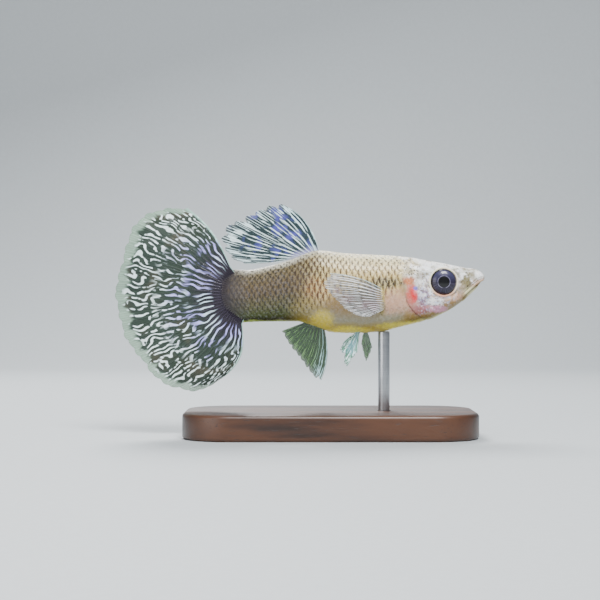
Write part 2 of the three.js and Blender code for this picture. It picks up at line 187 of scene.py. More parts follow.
# A colour as it is seen under the lamps, deepened because Blender's view softens strong light
def paint(r, g, b):
    deepen, brighten, whitest = 1.38, 1.12, 0.95
    linear = [((c / 255 + 0.055) / 1.055) ** 2.4 for c in (r, g, b)]
    return tuple(min(whitest, brighten * c**deepen) for c in linear) + (1,)


class Value:
    def __init__(self, look, socket):
        self.look = look
        self.socket = socket

    def calc(self, operation, *others):
        sockets = dict(enumerate((self,) + others))
        return self.look.node("Math", {"operation": operation}, sockets)

    def __add__(self, other):
        return self.calc("ADD", other)

    def __radd__(self, other):
        return self.calc("ADD", other)

    def __sub__(self, other):
        return self.calc("SUBTRACT", other)

    def __rsub__(self, other):
        return self.look.node("Math", {"operation": "SUBTRACT"}, {0: other, 1: self})

    def __mul__(self, other):
        return self.calc("MULTIPLY", other)

    def __rmul__(self, other):
        return self.calc("MULTIPLY", other)

    def __truediv__(self, other):
        return self.calc("DIVIDE", other)

    def __abs__(self):
        return self.calc("ABSOLUTE")


class Look:
    def __init__(self, name, **constants):
        self.material = bpy.data.materials.new(name)
        self.material.use_nodes = True
        self.tree = self.material.node_tree
        self.shader = self.tree.nodes["Principled BSDF"]
        for socket, value in constants.items():
            self.shader.inputs[socket.replace("_", " ")].default_value = value

    def node(self, kind, settings=None, sockets=None, output=0):
        node = self.tree.nodes.new("ShaderNode" + kind)
        for name, value in (settings or {}).items():
            if name == "stops":
                elements = node.color_ramp.elements
                while len(elements) < len(value):
                    elements.new(0.5)
                for element, (at, colour) in zip(elements, value):
                    element.position = at
                    element.color = colour
            else:
                setattr(node, name, value)
        for name, value in (sockets or {}).items():
            if isinstance(value, Value):
                self.tree.links.new(value.socket, node.inputs[name])
            else:
                node.inputs[name].default_value = value
        return Value(self, node.outputs[output])

    def feed(self, **links):
        for name, value in links.items():
            self.tree.links.new(value.socket, self.shader.inputs[name.replace("_", " ")])

    def mix(self, factor, a, b):
        return self.node("Mix", {"data_type": "RGBA"}, {0: factor, 6: a, 7: b}, 2)

    def ease(self, value, low, high):
        settings = {"interpolation_type": "SMOOTHSTEP"}
        return self.node("MapRange", settings, {0: value, 1: low, 2: high, 3: 0.0, 4: 1.0})

    def grade(self, value, stops):
        stops = [(at, paint(*colour)) for at, colour in stops]
        return self.node("ValToRGB", {"stops": stops}, {0: value})

    def noise(self, vector, scale, detail=2.0):
        return self.node("TexNoise", {}, {"Vector": vector, "Scale": scale, "Detail": detail})

    # noise drawn out by how far each of x, y and z is scaled
    def drawnNoise(self, x, y, z, detail=2.0):
        return self.noise(self.join(x, y, z), 1.0, detail)

    def cells(self, vector, scale, output=0):
        return self.node("TexVoronoi", {}, {"Vector": vector, "Scale": scale}, output)

    def join(self, x, y, z):
        return self.node("CombineXYZ", {}, {0: x, 1: y, 2: z})

    def split(self, vector):
        return [self.node("SeparateXYZ", {}, {0: vector}, i) for i in range(3)]

    def place(self):
        return self.node("TexCoord", {}, {}, "Object")

    def uv(self, name):
        return self.node("UVMap", {"uv_map": name})

    def attribute(self, name):
        return self.node("Attribute", {"attribute_name": name}, {}, "Fac")

    def length(self, vector):
        return self.node("VectorMath", {"operation": "LENGTH"}, {0: vector}, "Value")

    def larger(self, a, b):
        return self.node("Math", {"operation": "MAXIMUM"}, {0: a, 1: b})

    def sine(self, value):
        return self.node("Math", {"operation": "SINE"}, {0: value})

    def bump(self, height, distance, strength=1.0):
        return self.node("Bump", {}, {"Height": height, "Distance": distance, "Strength": strength})


# Camera, at the photo's level side view: the frame is 82.5 mm wide at the fish
print("camera and lights")
shot = {"wide": 82.5 * mm, "lens": 100, "sensor": 36, "middleX": -4.125 * mm, "aboveSnout": -3.025 * mm}
shotAway = shot["wide"] * shot["lens"] / shot["sensor"]
bpy.ops.object.camera_add(
    location=(shot["middleX"], -shotAway, fish["snoutZ"] + shot["aboveSnout"]),
    rotation=(math.radians(90), 0, 0),
)
camera = bpy.context.object
camera.data.lens = shot["lens"]
camera.data.sensor_width = shot["sensor"]
camera.data.clip_start = 0.01
camera.data.clip_end = 10
bpy.context.scene.camera = camera

lamps = {
    "key": {"at": (0.04, -0.19, 0.27), "size": 0.13, "watts": 1.9},
    "fill": {"at": (-0.22, -0.20, 0.06), "size": 0.20, "watts": 0.35},
    "back": {"at": (-0.06, 0.18, 0.22), "size": 0.12, "watts": 1.3},
}
for name, lamp in lamps.items():
    bpy.ops.object.light_add(type="AREA", location=lamp["at"])
    light = bpy.context.object
    light.name = name + "Lamp"
    light.data.size = lamp["size"]
    light.data.energy = lamp["watts"]
    toFish = np.array([0, 0, fish["snoutZ"]]) - np.array(lamp["at"])
    pan = math.atan2(toFish[1], toFish[0]) - math.pi / 2
    tilt = math.atan2(-toFish[2], math.hypot(toFish[0], toFish[1]))
    light.rotation_euler = (math.pi / 2 - tilt, 0, pan)

room = {"colour": (0.86, 0.92, 1.0, 1), "strength": 0.42}
world = bpy.data.worlds.new("softRoom")
world.use_nodes = True
world.node_tree.nodes["Background"].inputs["Color"].default_value = room["colour"]
world.node_tree.nodes["Background"].inputs["Strength"].default_value = room["strength"]
bpy.context.scene.world = world

# Floor, swept up behind the fish
floor = {"halfWide": 0.8, "front": -0.8, "back": 0.22, "sweep": 0.10, "top": 0.5}


def floorShape(u, v):
    reach = floor["back"] - floor["front"]
    arc = floor["sweep"] * math.pi / 2
    run = v * (reach + arc + floor["top"])
    turn = np.clip((run - reach) / floor["sweep"], 0, math.pi / 2)
    y = floor["front"] + np.minimum(run, reach) + floor["sweep"] * np.sin(turn)
    z = floor["sweep"] * (1 - np.cos(turn)) + np.maximum(run - reach - arc, 0)
    return (u * 2 - 1) * floor["halfWide"], y, z


paleFloor = shapedGrid("floor", 8, 160, floorShape)
floorLook = Look("paleFloor", Roughness=0.7)
grain = floorLook.noise(floorLook.place(), 900.0, 3.0)
floorLook.feed(
    Base_Color=floorLook.mix(grain, paint(186, 190, 192), paint(192, 196, 198)),
    Normal=floorLook.bump(grain, 0.00002),
)
paleFloor.data.materials.append(floorLook.material)

# The body's form, the same lines as the solids have
body = {
    "end": 104,
    "back": [(0, 0), (1.2, 2.2), (4.3, 3.8), (7.1, 4.1), (17.7, 6.2), (33.4, 8.6), (55, 9.8), (65.2, 10.9),
             (77.8, 6.8), (86.4, 4.4), (94.3, 3.2), (104, 3.5)],
    "belly": [(0, 0), (0.4, -1), (2, -2.4), (5.1, -5.6), (9.8, -10), (13.8, -12.7), (21.6, -16.2),
              (33.4, -19.3), (41.3, -21.2), (53, -21.7), (58.9, -21.5), (68.8, -18.3), (74, -17.1),
              (88.4, -17.2), (104, -17.8)],
    "flank": [(0, 0), (0.4, 0.2), (1.2, 0.33), (5.9, 0.52), (11, 0.66), (17, 0.78), (27, 0.9), (43, 1),
              (54, 0.98), (65, 0.84), (77, 0.62), (88, 0.44), (95, 0.3), (100, 0.2), (104, 0.15)],
    "backSquare": [(0, 2.4), (10, 3.1), (25, 2.9), (45, 2.2), (104, 2.2)],
    "bellySquare": 2.1,
    "leastHalfWidth": 0.02 * mm,
    "thinFrom": 94,  # over the tail fin's root
    "thinBy": 0.6,
    "bendFrom": 88,  # from here the end takes the bow of the tail's root
    "overTailRoot": 1.4,
    "around": 176,
    "along": 420,
    "crowding": 1.5,  # more points at the snout than at the tail
}


# A line that leaves the snout blunt, drawn over the root of the distance
def overRoot(points):
    line = lineThrough([(math.sqrt(x), y) for x, y in points])
    return lambda behind: line(np.sqrt(np.maximum(behind, 0)))


backLine = overRoot(body["back"])
bellyLine = overRoot(body["belly"])
flankLine = overRoot(body["flank"])
backSquare = lineThrough(body["backSquare"])
tailRoot = [(99.8, 4.6), (102, -1.2), (102.4, -6.7), (100.6, -12.2), (95.1, -18.2)]
rootBehind = lineThrough([(above, behind) for behind, above in reversed(tailRoot)])

headEnd = 36
eye = {"behind": 16.8, "above": -1.6, "radius": 1.69 * mm}
mouthLine = [(-2, -1), (1.3, -1.7), (3.4, -3), (5.7, -4.9), (8, -7), (9.2, -8.3)]
lipFolds = (0.47, 0.72)  # millimetres from the mouth
gillLine = [(29.6, 5.5), (31, 2.5), (32.2, -2.8), (31.2, -9), (28.3, -13.4), (23.4, -16.2), (18, -17)]
cheekLine = [(22.5, 0), (23.6, -5), (22.4, -10), (18, -12.8), (13, -11.6)]
nostrils = [(7.6, 1.9, 0.14, 0.16), (11.2, 3.0, 0.12, 0.1)]  # behind, above, size and depth
headForm = {  # heights and depths, in millimetres
    "eyeRim": 0.13,
    "besideRim": 0.05,
    "eyeSocket": 0.95,
    "mouth": 0.16,
    "lip": 0.13,
    "lipFolds": 0.08,
    "gillCover": 0.08,
    "gillSlit": 0.1,
    "cheekRidge": 0.045,
    "cheek": 0.04,
    "nostrilRim": 0.05,
    "vent": 0.12,
}


# How far behind the snout the gill slit lies, at a height
def gillBehind(height):
    behind, above = curveThrough(gillLine)(np.linspace(0, 1, 80))
    order = np.argsort(above)
    return np.interp(height, above[order], behind[order])


# Any point of the plain body; the angle runs from the fish's left over its back
def bodyPoint(behind, angle):
    top = backLine(behind)
    bottom = bellyLine(behind)
    halfWidth = np.maximum(flankLine(behind) * fish["bodyWidth"] / 2, body["leastHalfWidth"])
    halfWidth = halfWidth * (1 - body["thinBy"] * ramp(behind, body["thinFrom"], body["end"]))
    wide, high = np.cos(angle), np.sin(angle)
    power = np.where(high > 0, backSquare(behind), body["bellySquare"])
    y = halfWidth * np.sign(wide) * np.abs(wide) ** (2 / power)
    above = (top + bottom) / 2 + (top - bottom) / 2 * np.sign(high) * np.abs(high) ** (2 / power)
    bendFrom = body["bendFrom"]
    stretch = (rootBehind(above) + body["overTailRoot"] - bendFrom) / (body["end"] - bendFrom)
    behind = np.where(behind > bendFrom, bendFrom + (behind - bendFrom) * stretch, behind)
    return behind, y, above


# Skin and scales thin out where the stalk runs into the tail fin
def thinning(behind):
    return 1 - 0.7 * ramp(behind, 97, 103)


# How far the skin stands out of the plain body, in millimetres
def skinRelief(behind, y, above):
    side = np.abs(y) / mm
    facing = ramp(side, 0.7, 1.3)  # eyes and nostrils are on the sides only
    toEye = np.hypot(behind - eye["behind"], above - eye["above"]) * unit
    relief = headForm["eyeRim"] * hump(toEye - 1.93, 0.13) - headForm["besideRim"] * hump(toEye - 2.3, 0.18)
    relief = np.where(toEye < 2.6, relief, 0) * facing
    sunk = headForm["eyeSocket"] * (1 - ramp(toEye, 1.5, 1.87)) * facing
    relief = np.where(toEye < 1.9, relief - sunk, relief)

    head = behind < headEnd
    b, a = behind[head], above[head]
    toMouth = farFrom(mouthLine, b, a) * unit
    upper = ramp(9.6 - b, 0, 1.5)
    local = -headForm["mouth"] * hump(toMouth, 0.08) * upper * ramp(b, 0.5, 2.2)
    local += headForm["lip"] * hump(toMouth - 0.25, 0.12) * upper * ramp(b, 0, 1.2)
    folds = hump(toMouth - lipFolds[0], 0.06) + hump(toMouth - lipFolds[1], 0.06)
    local -= headForm["lipFolds"] * folds * upper * ramp(b, 0.8, 2.5)
    toGill = farFrom(gillLine, b, a) * unit
    cover = headForm["gillCover"] * ramp(2.4 - toGill, 0, 1.6)
    slit = -headForm["gillSlit"] * hump(toGill - 0.08, 0.16)
    local += np.where(gillBehind(a) > b, cover, slit) * ramp(6.5 - a, 0, 2) * ramp(b, 17, 21)
    local -= headForm["cheekRidge"] * hump(farFrom(cheekLine, b, a) * unit, 0.12)
    local += headForm["cheek"] * hump(np.hypot(b - 19, a + 9.4) * unit, 1.1)
    for behindNostril, aboveNostril, size, depth in nostrils:
        toNostril = np.hypot(b - behindNostril, a - aboveNostril) * unit
        rim = headForm["nostrilRim"] * hump(toNostril - 0.27, 0.09)
        local += (rim - depth * hump(toNostril, size)) * facing[head]
    relief[head] += local
    toVent = np.hypot((behind - 61.5) * unit, y / mm)
    return relief + np.where(above < -15, headForm["vent"] * hump(toVent, 0.4), 0)


# Each point of the skin's grid, moved out along the normal by the relief
def skinShape(u, v):
    count = body["around"] + 1
    order = np.lexsort((u, v))
    uu = u[order].reshape(-1, count)
    vv = v[order].reshape(-1, count)
    behind, y, above = bodyPoint(body["end"] * np.clip(vv, 0.0, 1) ** body["crowding"], 2 * math.pi * uu)
    y = np.where((vv <= 0) | (vv >= 1), 0, y)  # the snout's tip and the end in the tail close up
    points = np.stack([-behind * percent, y, above * percent], axis=-1)
    alongGrid = np.gradient(points, axis=0)
    wrapped = np.concatenate([points[:, -2:-1], points, points[:, 1:2]], axis=1)
    aroundGrid = (wrapped[:, 2:] - wrapped[:, :-2]) / 2
    normal = np.cross(alongGrid, aroundGrid)
    normal /= np.linalg.norm(normal, axis=-1, keepdims=True) + 1e-12
    out = skinRelief(behind, y, above) * mm - fish["coatDepth"]
    out = np.where(vv <= 0, 0, out) * thinning(behind)
    points = points + normal * out[..., None]
    placed = np.empty((u.size, 3))
    placed[order] = points.reshape(-1, 3)
    return fish["snoutX"] + placed[:, 0], placed[:, 1], fish["snoutZ"] + placed[:, 2]


# Where a point lies between belly (0) and back (1)
def levelOf(x, z):
    behind = (fish["snoutX"] - x) / percent
    above = (z - fish["snoutZ"]) / percent
    return np.clip((above - bellyLine(behind)) / (backLine(behind) - bellyLine(behind) + 0.1), 0, 1)


# Skin and scales carry the same markings:
# behind, above, reach behind, reach above, colour, strength, speckles
marks = [
    (36.0, -9.0, 7.5, 6.5, (208, 174, 154), 0.8, 0.1),  # rosy flank behind the gill
    (26.0, -11.8, 5, 3.2, (190, 134, 138), 0.9, 0),  # mauve under the gill
    (25.0, -7.4, 3.4, 5, (150, 132, 166), 0.85, 0.4),  # violet behind the cheek
    (29.6, -6.2, 2.7, 6, (206, 116, 104), 0.95, 0),  # gill, dull red
    (28.3, -6.4, 1.8, 4.2, (216, 66, 70), 1.0, 0),  # gill, bright red
    (30.3, -1.2, 3.2, 2.2, (206, 136, 86), 0.9, 0.4),  # orange over it
    (27.8, -4.1, 1.3, 1.1, (104, 136, 222), 0.8, 0),  # blue glint
    (20.0, -9.2, 4.4, 2.2, (246, 249, 252), 0.95, 0),  # silver cheek
    (19.5, -12.1, 6, 1.8, (226, 170, 196), 0.8, 0),  # pink under it
    (12.6, -7.4, 4, 2.2, (234, 198, 174), 0.8, 0.15),  # peach jaw
    (7.6, -0.8, 3.1, 5.4, (134, 126, 70), 0.9, 1.0),  # olive snout
    (3.0, 0.9, 3, 2.4, (244, 246, 250), 0.85, 0.15),  # pearly upper lip
    (5.2, -5.6, 5.4, 3, (226, 222, 186), 0.9, 0),  # pale chin
    (29.5, 3.6, 6, 4, (214, 200, 162), 0.6, 0.9),  # nape
    (40.0, -2.0, 9.5, 2.7, (88, 86, 76), 0.9, 1.0),  # dark shoulder
    (41.0, -9.0, 1.9, 7, (176, 164, 104), 0.8, 0.7),  # at the pectoral fin's root
    (66.0, -4.0, 6, 6, (160, 116, 72), 0.45, 0.1),  # warm brown flank
    (69.0, -12.5, 9, 6, (166, 150, 88), 0.5, 0),  # olive over the vent
    (63.8, -17.0, 6, 5.2, (222, 206, 100), 0.85, 0),  # yellow by the vent
    (54, -21.2, 11, 2.8, (250, 228, 108), 0.95, 0),  # yellow belly
    (31, -18.8, 13, 2.2, (236, 226, 112), 0.95, 0),  # yellow throat
]


def fishColour(look):
    spot = look.place()
    x, y, z = look.split(spot)
    behind = (fish["snoutX"] - x) / percent
    above = (z - fish["snoutZ"]) / percent
    level = look.attribute("level")
    soft = look.noise(spot, 420.0, 3.0) - 0.5
    fine = look.noise(spot, 2600.0, 2.0) - 0.5
    shifted = level + soft * 0.1
    head = look.grade(shifted, [
        (0.0, (206, 200, 112)), (0.05, (150, 134, 74)), (0.16, (178, 150, 104)), (0.32, (208, 182, 166)),
        (0.52, (216, 206, 196)), (0.78, (214, 215, 212)), (1.0, (240, 240, 238)),
    ])
    trunk = look.grade(shifted, [
        (0.0, (214, 198, 104)), (0.06, (186, 168, 92)), (0.15, (172, 168, 148)), (0.3, (166, 146, 110)),
        (0.48, (178, 152, 104)), (0.62, (184, 162, 108)), (0.82, (204, 186, 138)), (1.0, (240, 236, 210)),
    ])
    stalk = look.grade(shifted, [
        (0.0, (176, 190, 100)), (0.04, (58, 60, 30)), (0.12, (92, 100, 58)), (0.32, (98, 96, 62)),
        (0.5, (94, 82, 62)), (0.66, (102, 88, 64)), (0.88, (112, 102, 72)), (1.0, (226, 222, 206)),
    ])
    colour = look.mix(look.ease(behind + soft * 10, 28.0, 35.0), head, trunk)
    colour = look.mix(look.ease(behind + above * 0.5 + soft * 8, 56.0, 74.0), colour, stalk)
    speckled = look.ease(level, 0.5, 0.85) * (0.2 + 0.65 * look.ease(behind, 28.0, 36.0))
    for atBehind, atAbove, reachBehind, reachAbove, tint, strength, speckles in marks:
        across = (behind - atBehind) / reachBehind
        up = (above - atAbove) / reachAbove
        inside = 1 - look.ease(across * across + up * up + soft + fine * 0.8, 0.1, 1.0)
        colour = look.mix(inside * strength, colour, paint(*tint))
        if speckles:
            speckled = look.larger(speckled, inside * speckles)
    # the head is mottled, olive grey on pearl
    mottle = look.noise(spot, 1150.0, 4.0)
    onHead = (1 - look.ease(behind - level * 16, 16.5, 22.0)) * look.ease(level, 0.2, 0.4)
    colour = look.mix((1 - look.ease(mottle, 0.36, 0.5)) * onHead * 0.75, colour, paint(148, 138, 104))
    colour = look.mix(look.ease(mottle, 0.5, 0.62) * onHead * 0.85, colour, paint(252, 252, 250))
    # silvery platelets, each cell with its own sheen, brightest on the cheek
    shards = look.cells(look.join(x, y * 0.6, z), 4800.0, 1)
    red, green, blue = look.split(shards)
    onCheek = look.ease(behind, 9.0, 15.0) * (1 - look.ease(behind, 25.0, 28.0)) * look.ease(level, 0.08, 0.2)
    onCheek = onCheek * (1 - look.ease(level, 0.6, 0.9))
    sheen = look.mix(look.ease(green, 0.45, 0.55), paint(212, 222, 250), paint(250, 236, 244))
    colour = look.mix(look.ease(red, 0.55, 0.8) * (0.06 + 0.5 * onCheek), colour, sheen)
    colour = look.mix(look.ease(blue, 0.65, 0.9) * onCheek * 0.6, colour, paint(126, 98, 112))
    # dark pigment cells
    dots = look.cells(spot, 3200.0)
    patchy = look.ease(look.noise(spot, 1500.0, 3.0), 0.36, 0.52)
    dark = (1 - look.ease(dots, 0.28, 0.46)) * patchy
    colour = look.mix(dark * (0.08 + 0.9 * speckled), colour, paint(62, 52, 36))
    # the tail stalk runs dark into the fin
    colour = look.mix(look.ease(behind + fine * 6 + soft * 8, 91.0, 101.0) * 0.86, colour, paint(64, 58, 66))
    return colour, behind, above, level, spot


print("skin")
skin = shapedGrid("bodySkin", body["around"], body["along"], skinShape, weld=True)
skinX, _, skinZ = pointsOf(skin)
addAttribute(skin, "level", levelOf(skinX, skinZ))
wet = {
    "Roughness": 0.4,
    "Specular_IOR_Level": 0.3,
    "Coat_Weight": 0.22,
    "Coat_Roughness": 0.1,
    "Subsurface_Radius": (0.6 * mm, 0.3 * mm, 0.2 * mm),
    "Subsurface_Scale": 1.0,
}
skinLook = Look("guppySkin", Subsurface_Weight=0.08, **wet)
colour, behind, above, level, spot = fishColour(skinLook)
fromEye = skinLook.join(behind - eye["behind"], 0.0, above - eye["above"])
toEye = skinLook.length(fromEye) * unit
ringTint = skinLook.mix(skinLook.ease(above, -7.5, -3.0), paint(226, 176, 150), paint(242, 234, 216))
colour = skinLook.mix(1 - skinLook.ease(abs(toEye - 1.9), 0.06, 0.2), colour, ringTint)
# painted shade in the eye socket, a thin dark ring just round the eyeball
colour = skinLook.mix(1 - skinLook.ease(toEye, 1.7, 1.8), colour, paint(104, 90, 92))
# painted shade in the head's creases: mouth, lip folds, gill slit and nostril
colour = skinLook.mix(skinLook.attribute("crease"), colour, paint(92, 82, 52))
pits = skinLook.noise(spot, 3000.0, 3.0) + skinLook.cells(spot, 1900.0) * 0.6
skinLook.feed(Base_Color=colour, Normal=skinLook.bump(pits, 0.00006, 0.5))
# painted shade in the head's creases, darker than the skin round them
crease = np.zeros(len(skinX))
headPoints = (fish["snoutX"] - skinX) / percent < headEnd
bHead = (fish["snoutX"] - skinX[headPoints]) / percent
aHead = (skinZ[headPoints] - fish["snoutZ"]) / percent
toMouth = farFrom(mouthLine, bHead, aHead) * unit
foldsShade = 0.9 * hump(toMouth - lipFolds[0], 0.07) + 0.8 * hump(toMouth - lipFolds[1], 0.07)
mouthShade = (hump(toMouth, 0.09) + foldsShade) * ramp(9.8 - bHead, 0, 1.5) * ramp(bHead, 0.4, 2)
gillShade = hump(farFrom(gillLine, bHead, aHead) * unit - 0.08, 0.12)
gillShade = gillShade * ramp(5 - aHead, 0, 3) * ramp(bHead, 20, 24)
nostrilShade = 0.5 * hump(np.hypot(bHead - nostrils[0][0], aHead - nostrils[0][1]) * unit, 0.13)
crease[headPoints] = np.clip(mouthShade * 0.65 + gillShade * 0.15 + nostrilShade, 0, 1)
addAttribute(skin, "crease", crease)
finishPiece(skin, skinLook.material, "trunk_skin",
            "head", "lower_jaw", "left_gill_cover", "right_gill_cover", "trunk", "tail_stalk")

# Scales: one thin plate, repeated row by row, each over the roots of the next
print("scales")
scaleCoat = {
    "rows": 38,  # round the whole body
    "firstBehind": 24,
    "lastBehind": 102,
    "step": (2.45, 2.0),  # from one scale to the next in its row, at the head and at the tail
    "lengthSteps": 1.7,
    "widthRows": 2.3,
    "rise": 0.062 * mm,
    "varySize": (0.97, 1.04),
    "varyRise": (0.9, 1.1),
    "seed": 7,
    "backFrom": 25,  # over the gill cover's top the scales start here
    "across": 6,
    "along": 6,
}


# Places of every plate's points: across it q runs from -1 to 1, along it p from root to rear edge
def scalePlates():
    rng = np.random.default_rng(scaleCoat["seed"])
    across, along = scaleCoat["across"], scaleCoat["along"]
    q = np.linspace(-1, 1, across + 1)
    p = np.linspace(0, 1, along + 1)
    q, p = [grid.ravel() for grid in np.meshgrid(q, p)]
    rim = (np.abs(q) > 0.99) | (p < 0.01) | (p > 0.99)
    narrowing = np.clip(p - 0.45, 0, 1) / 0.56
    taper = np.sqrt(np.clip(1 - narrowing**2, 0.02, 1)) * (0.75 + 0.25 * ramp(p, 0, 0.4))
    height = 0.2 + 0.8 * p - 0.12 * q * q
    height = np.where(rim, -0.6, height)  # the rim dips into the skin
    spots = []
    first, last = scaleCoat["firstBehind"], scaleCoat["lastBehind"]
    for row in range(scaleCoat["rows"]):
        behind = first
        while behind < last:
            share = (behind - first) / (last - first)
            step = scaleCoat["step"][0] * (1 - share) + scaleCoat["step"][1] * share
            spots.append((behind + (row % 2) * step / 2, row, step))
            behind += step
    behind0, row, step = np.array(spots).T
    angle0 = 2 * math.pi * (row + 0.5) / scaleCoat["rows"] + math.pi / 2
    _, _, above0 = bodyPoint(behind0, angle0)
    start = np.where(above0 > 5.4, scaleCoat["backFrom"], gillBehind(above0))
    keep = (behind0 > start + 0.5) & (behind0 + step < rootBehind(above0) - 0.3)
    behind0, angle0, step = behind0[keep], angle0[keep], step[keep]
    length = step * scaleCoat["lengthSteps"] * rng.uniform(*scaleCoat["varySize"], behind0.size)
    halfAngle = math.pi / scaleCoat["rows"] * scaleCoat["widthRows"]
    halfAngle = halfAngle * rng.uniform(*scaleCoat["varySize"], behind0.size)
    behind = behind0[:, None] + (p - 0.25) * length[:, None]
    angle = angle0[:, None] + q * taper * halfAngle[:, None]
    lift = (height * scaleCoat["rise"])[None, :] * rng.uniform(*scaleCoat["varyRise"], behind0.size)[:, None]
    return behind, angle, lift, q, p


# A point raised off the plain body along its normal
def surfacePoint(behind, angle, lift):
    def at(b, t):
        b, y, a = bodyPoint(b, t)
        return np.stack([-b * percent, y, a * percent], axis=-1)

    near, turn = 0.2, 0.02  # the normal is taken from this close round the point
    lengthwise = at(behind + near, angle) - at(behind - near, angle)
    sideways = at(behind, angle + turn) - at(behind, angle - turn)
    normal = np.cross(lengthwise, sideways)
    normal /= np.linalg.norm(normal, axis=-1, keepdims=True) + 1e-12
    return at(behind, angle) + normal * ((lift - fish["coatDepth"]) * thinning(behind))[..., None]


behind, angle, lift, q, p = scalePlates()
plates = surfacePoint(behind, angle, lift) + np.array([fish["snoutX"], 0, fish["snoutZ"]])
perPlate = q.size
across, along = scaleCoat["across"], scaleCoat["along"]
quads = []
for j in range(along):
    for i in range(across):
        corner = j * (across + 1) + i
        quads.append((corner, corner + 1, corner + across + 2, corner + across + 1))
faces = (np.arange(len(plates))[:, None, None] * perPlate + np.array(quads)[None]).reshape(-1, 4)
scaleMesh = bpy.data.meshes.new("scaleCoat")
scaleMesh.from_pydata(plates.reshape(-1, 3).tolist(), [], faces.tolist())
scales = bpy.data.objects.new("scaleCoat", scaleMesh)
bpy.context.collection.objects.link(scales)
corners = faces.ravel()
own = scaleMesh.uv_layers.new(name="scaleSpot")
ownPlace = np.stack([np.tile(q, len(plates))[corners] / 2 + 0.5, np.tile(p, len(plates))[corners]], axis=1)
own.data.foreach_set("uv", ownPlace.astype(np.float32).ravel())
baked = scaleMesh.uv_layers.new(name="OFBake")  # each plate is a small patch at its root's place on the body
rootU = (angle[:, :1] % (2 * math.pi)) / (2 * math.pi) + q[None, :] * 0.0015
rootV = behind[:, :1] / 106 + (p[None, :] - 0.5) * 0.003
bakePlace = np.stack([rootU.ravel()[corners], rootV.ravel()[corners]], axis=1)
baked.data.foreach_set("uv", np.clip(bakePlace, 0.001, 0.999).astype(np.float32).ravel())
inEditMode(scales, lambda: bpy.ops.mesh.normals_make_consistent(inside=False))
bpy.ops.object.shade_smooth()
scaleX, _, scaleZ = pointsOf(scales)
addAttribute(scales, "level", levelOf(scaleX, scaleZ))

scaleLook = Look("guppyScales", Subsurface_Weight=0.05, **wet)
colour, behindNode, _, level, spot = fishColour(scaleLook)
acrossNode, alongNode, _ = scaleLook.split(scaleLook.uv("scaleSpot"))
fromMiddle = (acrossNode - 0.5) * 2
grain = scaleLook.noise(spot, 5200.0, 2.0)
# the rear edge is dark where the scale is pigmented: on the flanks, lower down on the tail stalk
toEdge = alongNode + fromMiddle * fromMiddle * 0.12 + (grain - 0.5) * 0.24
edgeDark = scaleLook.ease(toEdge, 0.64, 0.82) * (1 - 0.75 * scaleLook.ease(abs(fromMiddle), 0.34, 0.62))
lowest = 0.4 - 0.34 * scaleLook.ease(behindNode, 56.0, 72.0)
pigment = scaleLook.ease(level + (scaleLook.noise(spot, 500.0) - 0.5) * 0.2 - lowest, 0.0, 0.18)
pigment = pigment * (0.85 + 0.15 * scaleLook.ease(behindNode, 40.0, 62.0))
pigment = pigment * (1 - 0.4 * scaleLook.ease(level, 0.88, 1.0)) * scaleLook.ease(grain, 0.3, 0.5)
pigment = pigment * (1 - 0.5 * scaleLook.ease(behindNode, 90.0, 99.0))
# each scale's middle band is pale, partly its own colour and partly a painted highlight, fainter low on the
# body
paleCentreHighlight = (1 - scaleLook.ease(abs(toEdge - 0.55), 0.07, 0.18)) * pigment * scaleLook.ease(level, 0.1, 0.5)
light = scaleLook.mix(scaleLook.ease(behindNode, 60.0, 76.0), paint(236, 220, 172), paint(158, 144, 114))
colour = scaleLook.mix(paleCentreHighlight * (0.6 - 0.3 * scaleLook.ease(behindNode, 66.0, 80.0)), colour, light)
brown = scaleLook.mix(scaleLook.ease(behindNode, 48.0, 64.0), paint(98, 80, 46), paint(84, 58, 34))
brown = scaleLook.mix(scaleLook.ease(behindNode, 68.0, 80.0), brown, paint(54, 44, 36))
colour = scaleLook.mix(edgeDark * pigment * 0.92, colour, brown)
growthRings = scaleLook.sine(alongNode * 60) * 0.1
scaleLook.feed(
    Base_Color=colour,
    Normal=scaleLook.bump(growthRings + scaleLook.noise(spot, 3200.0, 2.0), 0.00003, 0.4),
)
finishPiece(scales, scaleLook.material, "trunk_skin")

# Eyes: a low glossy dome with a dark iris round a black pupil
print("eyes")
eyeForm = {
    "front": 0.45 * mm,
    "back": 0.85 * mm,
    "wall": 0.75,
    "backEnds": 0.15,  # shares of the grid's points: flat back, straight wall, then the dome
    "wallEnds": 0.3,
    "pupil": 0.72,
    "ring": 0.84,
}


def eyeFlank():
    top, bottom = backLine(eye["behind"]), bellyLine(eye["behind"])
    level = (eye["above"] - (top + bottom) / 2) / ((top - bottom) / 2)
    power = float(backSquare(eye["behind"])) if level > 0 else body["bellySquare"]
    return flankLine(eye["behind"]) * fish["bodyWidth"] / 2 * (1 - abs(level) ** power) ** (1 / power)


